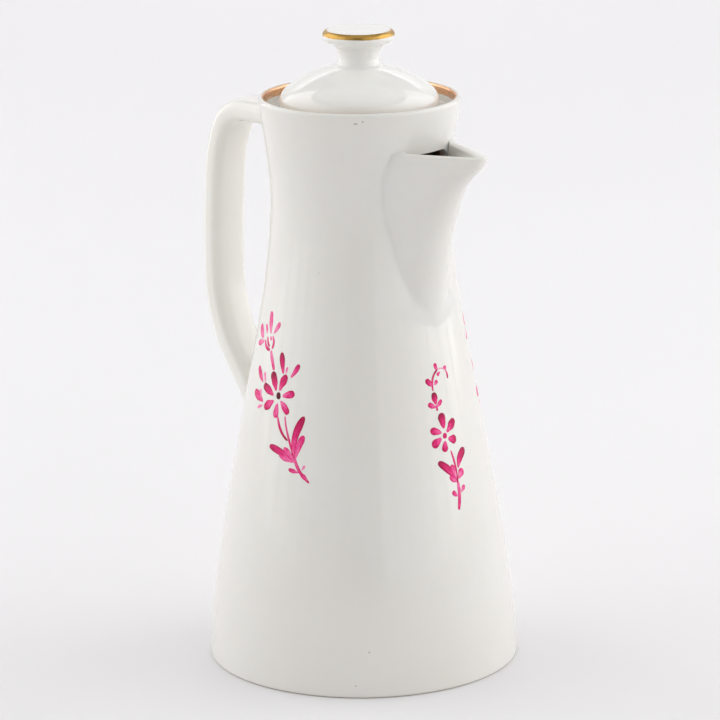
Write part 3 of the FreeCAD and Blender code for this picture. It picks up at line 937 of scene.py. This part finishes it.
hv = []
for k in range(K):
    g = gap(rail(k, S_ALL))
    out = np.nonzero(g > 0)[0]
    i0, i1 = out[0], out[-1]
    s_a = np.interp(0, [g[i0 - 1], g[i0]], [S_ALL[i0 - 1], S_ALL[i0]])
    s_b = np.interp(0, [g[i1 + 1], g[i1]], [S_ALL[i1 + 1], S_ALL[i1]]) if i1 + 1 < len(g) else S_ALL[-1]
    inner = 0.5 - 0.5 * sec[k, 1] / (HANDLE_T / 2)      # 1 on the side facing the pot
    up = 3.4 + 1.4 * inner
    top = foot_run(k, s_a, up, up - 0.2)
    low = foot_run(k, s_b, -(4.2 - 1.4 * inner), 3.4 - 1.8 * inner)
    body = rail(k, s_a + up + (s_b - (4.2 - 1.4 * inner) - s_a - up) * BODY_ROWS)
    hv.append(np.vstack([top[::-1], body, low]))
hv = np.array(hv).transpose(1, 0, 2)
hr = len(hv)
hf = grid_faces(hr, K, True)
flat = hv.reshape(-1, 3)
caps = []
for j in (0, hr - 1):
    c = hv[j].mean(0)
    c = c - wall_normal(c[None])[0] * (float(gap(c[None])[0]) + 1.2)
    caps.append(c)
flat = np.vstack([flat, caps])
hf += [(len(flat) - 2, (i + 1) % K, i) for i in range(K)]
b = (hr - 1) * K
hf += [(len(flat) - 1, b + i, b + (i + 1) % K) for i in range(K)]
make("handle_porcelain", flat, hf, glaze_strap_painted_light, "pot", "handle", sharp=60)

# ------------------------------------------------------------------------- lid
dome = along(LID_DOME, 60)
under = along(LID_UNDER, 40)
rest = rounded([(25.1, 205.0), (25.1, 198.8), (27.7, 198.8), (27.7, 210.8), (29.4, 210.8),
                tuple(dome[2])], [0, 0.9, 0.9, 0.35, 0.35, 0], 6)
lid_prof = np.vstack([[[0.0, 228.6]], [[4.0, 228.6]], dome[::-1][:-2], rest[1:-1][::-1],
                      [[25.1, 207.0]], [[25.1, 209.5]], under])
lv, lf = lathe(lid_prof)
make("lid_porcelain", lv, lf, glaze, "lid", "lid")

# ------------------------------------------------------------------------ knob
edge_c = (KNOB_R - KNOB_EDGE_R, KNOB_EDGE_Z)
a_end = math.radians(KNOB_EDGE_TURN)
end = (edge_c[0] + KNOB_EDGE_R * math.cos(a_end), edge_c[1] + KNOB_EDGE_R * math.sin(a_end))
rt = np.linspace(end[0], 0, 16)
crown = np.stack([rt, end[1] + (KNOB_TOP_Z - end[1]) * (1 - (rt / end[0]) ** 2)], 1)
flank_k = along([(7.6, 230.2)] + KNOB_FLANK[1:], 44)
dome_z = Spline([p[0] for p in LID_DOME[::-1] if p[0] > 7 and p[0] < 27],
                [p[1] for p in LID_DOME[::-1] if p[0] > 7 and p[0] < 27])
f_out = 9.3
foot_k = []
for t in np.linspace(0, 1, 9):
    p0, p1 = np.array([f_out, float(dome_z(f_out))]), np.array([7.62, 230.3])
    v0 = np.array([7.85, float(dome_z(7.9)) + 0.12])
    foot_k.append((1 - t) ** 2 * p0 + 2 * t * (1 - t) * v0 + t * t * p1)
kp = np.vstack([[[0.0, 228.2]], [[6.0, 228.2]], [[f_out + 0.1, float(dome_z(f_out)) - 0.12]],
                foot_k, flank_k[2:], [[KNOB_R, 239.2]],
                arc(edge_c, KNOB_EDGE_R, 0, KNOB_EDGE_TURN, 12), crown[1:]])
kv, kf = lathe(kp, 160)
make("knob_porcelain", kv, kf, glaze, "lid", "lid_knob")


# ---------------------------------------------------------------------- gilding
def band(name, curve, n, lo_edge, hi_edge, thick, material, body, node_name):
    """A thin ring laid along a profile curve, its two edges a little uneven as
    a brush leaves them on the turning wheel."""
    curve = np.asarray(curve, float)
    s = np.concatenate([[0], np.cumsum(np.linalg.norm(np.diff(curve, axis=0), axis=1))])
    tg = np.gradient(curve, axis=0)
    nn = np.stack([tg[:, 1], -tg[:, 0]], 1)
    nn /= np.linalg.norm(nn, axis=1)[:, None]
    cols = 14
    v, info = [], []
    for i in range(n):
        th = 2 * math.pi * i / n
        lo = lo_edge + 0.10 * (math.sin(5 * th + 1.3) * 0.5 + math.sin(13 * th) * 0.3
                               + math.sin(29 * th + 0.7) * 0.25)
        hi = hi_edge + 0.07 * (math.sin(4 * th + 0.4) * 0.5 + math.sin(17 * th + 2.0) * 0.35)
        t = np.linspace(lo, s[-1] + hi, cols)
        r = np.interp(t, s, curve[:, 0])
        z = np.interp(t, s, curve[:, 1])
        nr_, nz_ = np.interp(t, s, nn[:, 0]), np.interp(t, s, nn[:, 1])
        lift = thick * np.sin(np.linspace(0, math.pi, cols)) ** 0.5
        for side, off in ((0, lift), (1, -0.06 * math.copysign(1.0, thick) * np.ones(cols))):
            rr, zz = r + nr_ * off, z + nz_ * off
            use = range(cols) if side == 0 else range(cols - 1, -1, -1)
            for k in use:
                v.append((rr[k] * math.cos(th), rr[k] * math.sin(th), zz[k]))
                info.append((th * 3.0, k / (cols - 1.0), 0.0))
    f = []
    m = 2 * cols
    for i in range(n):
        j = (i + 1) % n
        for k in range(m):
            f.append((i * m + k, i * m + (k + 1) % m, j * m + (k + 1) % m, j * m + k))
    ob = make(name, v, f, material, body, node_name)
    a = ob.data.attributes.new("band", "FLOAT_VECTOR", "POINT")
    a.data.foreach_set("vector", np.array(info, np.float32).ravel())
    return ob


inner_line = [(GALLERY_R + (lip_c[0] - LIP_R - GALLERY_R) * (q - GALLERY_Z) / (LIP_Z - GALLERY_Z), q)
              for q in np.linspace(213.2, LIP_Z - 0.1, 9)]
rim_curve = np.vstack([inner_line, arc(lip_c, LIP_R, 180, 107, 11)])
band("rim_gilding", rim_curve, 300, 0.3, 0.0, -0.02, gold_rim_painted_lighter, "pot", "rim_gold_band")
knob_curve = arc(edge_c, KNOB_EDGE_R, 4, KNOB_EDGE_TURN, 16)
band("knob_gilding", knob_curve, 220, 0.1, -0.1, 0.035, gold_knob_painted_darker, "lid", "knob_gold_band")

# ---------------------------------------------------------------------- sprigs
# brush strokes as (kind, (degrees round the pot, height) points, width, load):
# p a drop from its fine end to its round one, s a line, o an oval dab
SPRIG_SIDE = [
    ('p', [(-107.6, 130.1), (-109.0, 134.0), (-109.9, 138.7)], 3.15, 0.35),
    ('p', [(-104.9, 130.7), (-102.6, 132.7), (-99.7, 135.6)], 2.23, 0.25),
    ('p', [(-115.5, 127.3), (-119.2, 129.4), (-122.7, 131.8)], 4.20, 0.40),
    ('p', [(-111.7, 129.6), (-113.0, 131.4), (-114.7, 133.1)], 2.15, 0.30),
    ('p', [(-113.8, 126.8), (-116.8, 126.0), (-123.0, 124.5)], 2.48, 0.40),
    ('s', [(-113.0, 127.5), (-111.8, 125.8), (-108.9, 124.6), (-106.2, 124.6)], 1.62, 0.62),
    ('s', [(-110.7, 129.0), (-109.6, 127.1), (-107.2, 125.5)], 1.36, 0.75),
    ('s', [(-105.5, 129.9), (-103.6, 127.8), (-104.5, 125.1)], 1.35, 0.50),
    ('s', [(-107.4, 129.5), (-106.4, 128.0)], 1.25, 0.40),
    ('s', [(-105.1, 124.6), (-103.2, 121.8), (-99.8, 117.7)], 1.93, 0.35),
    ('p', [(-92.3, 117.2), (-93.8, 120.6), (-95.4, 125.2)], 3.04, 0.85),
    ('p', [(-90.6, 117.6), (-90.4, 118.8), (-89.9, 120.3)], 1.14, 0.15),
    ('p', [(-87.2, 116.6), (-85.2, 118.4), (-82.2, 122.1)], 2.23, 0.60),
    ('p', [(-108.1, 112.0), (-111.8, 114.1), (-115.7, 117.1)], 3.11, 0.50),
    ('p', [(-106.1, 111.7), (-106.9, 113.9), (-108.1, 116.1)], 1.57, 0.20),
    ('p', [(-105.5, 105.1), (-109.4, 106.2), (-116.2, 107.4)], 3.85, 0.50),
    ('p', [(-107.8, 106.8), (-108.9, 108.0), (-110.2, 109.2)], 1.43, 0.10),
    ('p', [(-105.3, 103.8), (-107.4, 103.2), (-110.2, 102.2)], 1.35, 0.15),
    ('o', [(-94.2, 110.2), (-93.7, 108.0)], 2.46, 1.45),
    ('p', [(-96.0, 110.5), (-97.9, 113.5), (-100.8, 117.3)], 3.89, 0.95),
    ('p', [(-93.7, 110.8), (-92.4, 113.8), (-89.6, 117.3)], 3.48, 0.75),
    ('p', [(-91.4, 109.3), (-87.6, 110.2), (-83.4, 111.2)], 3.11, 0.60),
    ('p', [(-92.3, 107.5), (-89.4, 105.7), (-86.1, 103.2)], 3.19, 0.60),
    ('p', [(-94.0, 106.5), (-94.3, 103.8), (-94.4, 100.7)], 3.05, 0.45),
    ('p', [(-96.7, 106.9), (-99.5, 105.5), (-104.0, 103.0)], 3.64, 0.65),
    ('p', [(-97.4, 108.7), (-100.8, 109.8), (-107.2, 111.3)], 3.65, 0.85),
    ('s', [(-92.9, 101.8), (-90.8, 98.1), (-87.8, 95.2), (-84.8, 93.5)], 1.23, 0.85),
    ('s', [(-88.1, 102.7), (-86.9, 99.1), (-84.7, 94.9), (-82.0, 90.3), (-79.9, 86.8)], 0.94, 0.62),
    ('p', [(-80.5, 87.4), (-81.0, 94.8), (-76.5, 103.6)], 3.41, 0.80),
    ('p', [(-79.5, 87.5), (-78.6, 91.7), (-76.0, 96.5)], 2.95, 0.45),
    ('p', [(-80.0, 86.5), (-87.5, 88.8), (-96.1, 90.3)], 3.01, 0.75),
    ('p', [(-80.2, 86.8), (-83.2, 88.9), (-86.9, 90.8)], 2.33, 0.35),
    ('p', [(-80.2, 86.1), (-84.4, 86.9), (-89.2, 88.0)], 2.38, 0.35),
    ('s', [(-81.8, 91.3), (-79.7, 86.8), (-76.3, 82.6), (-71.5, 79.3)], 1.35, 0.55),
    ('p', [(-72.1, 79.5), (-73.7, 80.8), (-76.4, 82.4)], 1.84, 0.50),
    ('p', [(-77.2, 82.6), (-79.8, 82.9), (-82.9, 83.3)], 1.76, 0.50),
    ('p', [(-75.8, 83.7), (-75.2, 84.5), (-74.4, 85.6)], 1.07, 0.12),
]
SPRIG_FRONT = [
    ('s', [(-8.9, 111.1), (-8.7, 114.7), (-6.4, 117.7), (-3.7, 119.0)], 0.96, 0.80),
    ('s', [(-3.9, 119.0), (-1.4, 118.9), (0.9, 118.5)], 0.37, 0.10),
    ('p', [(1.5, 117.6), (1.5, 118.5), (1.3, 119.5)], 1.89, 0.45),
    ('s', [(1.8, 117.8), (2.5, 116.3), (2.5, 114.5)], 0.96, 0.70),
    ('p', [(-4.7, 118.2), (-5.1, 119.7), (-5.8, 121.3)], 1.93, 0.50),
    ('p', [(-2.4, 117.7), (-3.8, 117.2), (-5.1, 116.6)], 1.55, 0.40),
    ('p', [(-8.2, 113.2), (-10.2, 114.2), (-12.6, 116.1)], 2.42, 0.75),
    ('p', [(-7.5, 113.3), (-6.6, 114.0), (-5.2, 114.9)], 1.71, 0.40),
    ('p', [(-8.0, 106.1), (-8.4, 108.4), (-8.8, 110.9)], 3.06, 0.90),
    ('p', [(-8.2, 105.3), (-10.3, 105.9), (-12.9, 107.1)], 2.25, 0.55),
    ('p', [(-8.2, 105.3), (-6.3, 106.1), (-4.1, 107.6)], 1.93, 0.45),
    ('s', [(-8.0, 106.1), (-7.8, 105.0), (-7.7, 103.8)], 1.01, 0.60),
    ('o', [(-4.8, 95.1), (-5.2, 93.4)], 2.13, 0.55),
    ('p', [(-5.0, 96.8), (-5.3, 99.4), (-6.0, 102.9)], 3.91, 0.88),
    ('p', [(-3.7, 95.3), (-1.0, 96.9), (2.7, 99.5)], 3.59, 0.80),
    ('p', [(-3.2, 93.1), (-0.9, 92.4), (2.3, 91.9)], 3.47, 0.75),
    ('p', [(-5.2, 92.5), (-5.7, 90.6), (-6.2, 88.3)], 3.24, 0.70),
    ('p', [(-7.1, 93.7), (-9.9, 92.6), (-13.2, 91.3)], 3.46, 0.65),
    ('p', [(-6.6, 95.5), (-9.7, 96.4), (-13.5, 97.2)], 3.03, 0.70),
    ('s', [(-2.7, 88.6), (-1.4, 84.6), (-0.8, 79.3), (-0.9, 75.6)], 1.06, 0.80),
    ('s', [(-0.8, 76.6), (-1.0, 71.4), (-2.6, 65.9)], 1.76, 0.50),
    ('p', [(-0.9, 76.9), (-5.6, 81.7), (-11.1, 85.2)], 3.39, 0.82),
    ('p', [(-1.0, 77.5), (-1.9, 80.2), (-3.8, 83.1)], 2.72, 0.40),
    ('p', [(-0.9, 76.3), (-3.1, 77.5), (-5.4, 79.1)], 2.25, 0.42),
    ('p', [(0.5, 81.1), (2.5, 84.5), (7.0, 87.8)], 3.69, 0.82),
    ('p', [(-0.1, 77.3), (1.5, 78.8), (3.5, 80.6)], 3.26, 0.42),
    ('p', [(-2.1, 71.2), (-3.3, 72.0), (-4.9, 73.4)], 2.09, 0.50),
    ('p', [(0.3, 72.2), (1.5, 73.1), (3.2, 74.5)], 1.92, 0.35),
]


def on_wall(deg, z, lift):
    sl = wall_slope(z)
    n = np.sqrt(1 + sl * sl)
    r = wall(z) + lift / n
    a = np.radians(deg)
    return np.stack([r * np.cos(a), r * np.sin(a), z - lift * sl / n], -1)


def sprig(name, strokes, turn=0.0, rise=0.0, grow=1.0, anchor=(0.0, 0.0), lean=0.0,
          height=0.05):
    """Paints a sprig on the pot's wall: every stroke is a thin, slightly raised
    patch that follows the wall."""
    rng = np.random.default_rng(len(strokes) * 7 + int(abs(turn)))
    V, F, S = [], [], []
    for number, (kind, pts_, width, tone) in enumerate(strokes):
        p = np.array(pts_, float)
        p = np.array(anchor) + (p - np.array(anchor)) * grow
        width = width * grow
        p[:, 0] += turn + lean * (p[:, 1] - anchor[1])
        p[:, 1] += rise
        if len(p) == 2:
            p = np.vstack([p[0], p.mean(0), p[1]])
        nt_, nc = 26, 9
        # flat coordinates round the stroke's middle, in millimetres
        zm, am = p[:, 1].mean(), p[:, 0].mean()
        rm = float(wall(zm))
        q = np.stack([np.radians(p[:, 0] - am) * rm, p[:, 1]], 1)
        if kind == "o":
            d = (q[-1] - q[0]) / np.linalg.norm(q[-1] - q[0])
            q = np.stack([q[0] - d * 0.25, q[1], q[-1] + d * 0.25])
        c = along(q, nt_)
        tg = np.gradient(c, axis=0)
        tg /= np.linalg.norm(tg, axis=1)[:, None]
        nn = np.stack([-tg[:, 1], tg[:, 0]], 1)
        t = np.linspace(0, 1, nt_)
        if kind == "p":
            w = (0.30 + 0.70 * smooth(t / 0.66) ** 0.8) * np.sqrt(np.clip(1 - t ** 6, 0, 1)) \
                * np.sqrt(np.clip(t / 0.10, 0, 1))
        elif kind == "o":
            w = np.sqrt(np.clip(1 - (2 * t - 1) ** 2, 0, 1))
        else:
            w = (0.55 + 0.45 * np.sin(math.pi * t) ** 0.6) * np.sqrt(np.clip(t / 0.06, 0, 1)) \
                * np.sqrt(np.clip((1 - t) / 0.06, 0, 1))
        wob = 1 + 0.05 * np.sin(t * rng.uniform(8, 14) + rng.uniform(0, 6))
        w = w * wob * width * 0.53
        cs = np.linspace(-1, 1, nc)
        base = len(V)
        idx = np.zeros((2, nt_, nc), int)
        for side in (0, 1):
            for i in range(nt_):
                single = w[i] < 1e-4
                for k in range(nc):
                    if single and k > 0:
                        idx[side, i, k] = idx[side, i, 0]
                        continue
                    if side == 1 and (single or k in (0, nc - 1)):
                        idx[1, i, k] = idx[0, i, k]
                        continue
                    off = c[i] + nn[i] * w[i] * cs[k]
                    round_ = math.sqrt(max(0.0, 1 - cs[k] ** 2))
                    ends = min(1.0, w[i] / (0.25 * width))
                    h = (height * round_ * ends if side == 0 else -0.05 * round_ - 0.0) - 0.012
                    deg = am + math.degrees(off[0] / rm) if not single else am + math.degrees(c[i][0] / rm)
                    V.append((deg, off[1], h))
                    S.append((1.0 if kind == "o" else t[i], cs[k], tone))
                    idx[side, i, k] = len(V) - 1
        for side in (0, 1):
            for i in range(nt_ - 1):
                for k in range(nc - 1):
                    f = [idx[side, i, k], idx[side, i, k + 1], idx[side, i + 1, k + 1], idx[side, i + 1, k]]
                    f = [a for n_, a in enumerate(f) if a not in f[:n_]]
                    if len(f) >= 3:
                        F.append(f[::-1] if side else f)
    V = np.array(V)
    ob = make(name, on_wall(V[:, 0], V[:, 1], V[:, 2]), F, pink, "pot", sharp=180)
    a = ob.data.attributes.new("stroke", "FLOAT_VECTOR", "POINT")
    a.data.foreach_set("vector", np.array(S, np.float32).ravel())
    return ob


sprig("sprig_side", SPRIG_SIDE)
sprig("sprig_front", SPRIG_FRONT)
sprig("sprig_far_side", SPRIG_SIDE, turn=161.0, rise=1.0, grow=1.2, anchor=(-122.7, 131.0),
      lean=0.42)
sprig("sprig_rear", SPRIG_FRONT, turn=128.0, rise=-2.0)

# ----------------------------------------------------------------------- stage
def stage_material(name, tint):
    m, nt, bsdf = tree_of(name)
    at = node(nt, "TexCoord").outputs["Object"]
    nt.links.new(mix(nt, span(nt, noise(nt, at, 1.3, 2.0), 0.3, 0.7), tint,
                     tuple(0.985 * c for c in tint)), bsdf.inputs["Base Color"])
    bsdf.inputs["Roughness"].default_value = 0.75
    bsdf.inputs["Specular IOR Level"].default_value = 0.2
    return m


paper = stage_material("paper", (0.834, 0.824, 0.835))
YAW = math.radians(42.5)


def turned(x, y, z):
    """From the camera's side (x right, y away) to the part's frame, metres."""
    return (x * math.cos(YAW) - y * math.sin(YAW), x * math.sin(YAW) + y * math.cos(YAW), z)


sweep = [(-3.2, 0.0)] + [(y, 0.0) for y in np.linspace(-2.0, 1.3, 12)] \
    + [(1.3 + 0.9 * math.sin(a), 0.9 - 0.9 * math.cos(a)) for a in np.linspace(0.1, math.pi / 2, 16)] \
    + [(2.2, z) for z in np.linspace(1.1, 3.4, 8)]
fv, ff = [], []
xs = np.linspace(-2.8, 2.8, 15)
for y, z in sweep:
    fv += [turned(x, y, z) for x in xs]
ff = grid_faces(len(sweep), len(xs), False)
me = bpy.data.meshes.new("backdrop")
me.from_pydata(fv, [], ff)
me.polygons.foreach_set("use_smooth", [True] * len(me.polygons))
me.materials.append(paper)
backdrop = bpy.data.objects.new("backdrop", me)
scene.collection.objects.link(backdrop)

# ----------------------------------------------------------------------- lights
world = bpy.data.worlds.new("studio")
scene.world = world
world.use_nodes = True
bg = world.node_tree.nodes["Background"]
bg.inputs[0].default_value = (1.0, 1.0, 1.0, 1.0)
bg.inputs[1].default_value = 0.330


def softbox(name, place, target, size, power, colour=(1, 1, 1)):
    d = bpy.data.lights.new(name, "AREA")
    d.shape = "RECTANGLE"
    d.size, d.size_y = size
    d.energy = power
    d.color = colour
    ob = bpy.data.objects.new(name, d)
    scene.collection.objects.link(ob)
    a, b = np.array(turned(*place)), np.array(turned(*target))
    back = (a - b) / np.linalg.norm(a - b)
    right = np.cross([0, 0, 1.0], back)
    if np.linalg.norm(right) < 1e-6:
        right = np.array([math.cos(YAW), math.sin(YAW), 0])
    right /= np.linalg.norm(right)
    up = np.cross(back, right)
    ob.matrix_world = Matrix(((right[0], up[0], back[0], a[0]), (right[1], up[1], back[1], a[1]),
                              (right[2], up[2], back[2], a[2]), (0, 0, 0, 1)))
    return ob


def around(deg, dist, z):
    """A place round the pot, seen from above: 0 towards the camera, + right."""
    return (dist * math.sin(math.radians(deg)), -dist * math.cos(math.radians(deg)), z)


# a ring of tall strips round the pot, open towards the camera: (from, to)
# degrees and brightness
STRIPS = [
    (-30, -18, 0.30), (-42, -30, 0.42), (-54, -42, 0.65), (-66, -54, 0.95),
    (-80, -66, 1.22), (-96, -80, 1.47), (-112, -96, 1.47), (-127, -112, 1.52),
    (-142, -127, 1.52),
    (15, 27, 0.55), (27, 39, 0.60), (39, 51, 0.74), (51, 63, 1.00),
    (63, 77, 1.32), (77, 93, 1.74), (93, 109, 1.74), (109, 125, 1.74), (125, 141, 1.10),
]
for n, (lo, hi, bright) in enumerate(STRIPS):
    half = math.radians(0.5 * (hi - lo))
    wide = 2 * 1.45 * math.tan(half)
    softbox("strip_%02d" % n, around(0.5 * (lo + hi), 1.45, 0.80), (0, 0, 0.55), (wide, 1.9),
            bright * math.pi * wide * 1.9)
softbox("top_box", (0.0, -0.1, 1.9), (0, -0.1, 0), (2.0, 2.0), 5.5)
glow = softbox("back_box", (0.0, 2.0, 1.6), (0, 2.6, 0.0), (2.6, 0.8), 17.0)
glow.visible_glossy = False

# ----------------------------------------------------------------------- camera
D, HC, F = 1458.2367, 500.5834, 3980.0687
YAW_C, PITCH, ROLL = -0.0003958, -0.2586288, -0.0091161
fw = np.array([math.sin(YAW_C) * math.cos(PITCH), math.cos(YAW_C) * math.cos(PITCH), math.sin(PITCH)])
right = np.cross(fw, [0, 0, 1.0])
right /= np.linalg.norm(right)
up = np.cross(right, fw)
r2 = math.cos(ROLL) * right + math.sin(ROLL) * up
u2 = -math.sin(ROLL) * right + math.cos(ROLL) * up
spin = np.array([[math.cos(YAW), -math.sin(YAW), 0], [math.sin(YAW), math.cos(YAW), 0], [0, 0, 1]])
place, r2, u2, bk = spin @ np.array([0, -D, HC]) * MM, spin @ r2, spin @ u2, spin @ -fw
cam = bpy.data.cameras.new("camera")
cam.sensor_width = 36.0
cam.lens = F * 36.0 / 720.0
cam.clip_start, cam.clip_end = 0.05, 20.0
eye = bpy.data.objects.new("camera", cam)
scene.collection.objects.link(eye)
eye.matrix_world = Matrix(((r2[0], u2[0], bk[0], place[0]), (r2[1], u2[1], bk[1], place[1]),
                           (r2[2], u2[2], bk[2], place[2]), (0, 0, 0, 1)))
scene.camera = eye
scene.view_settings.view_transform = "Standard"
scene.view_settings.look = "None"

bpy.context.view_layer.update()
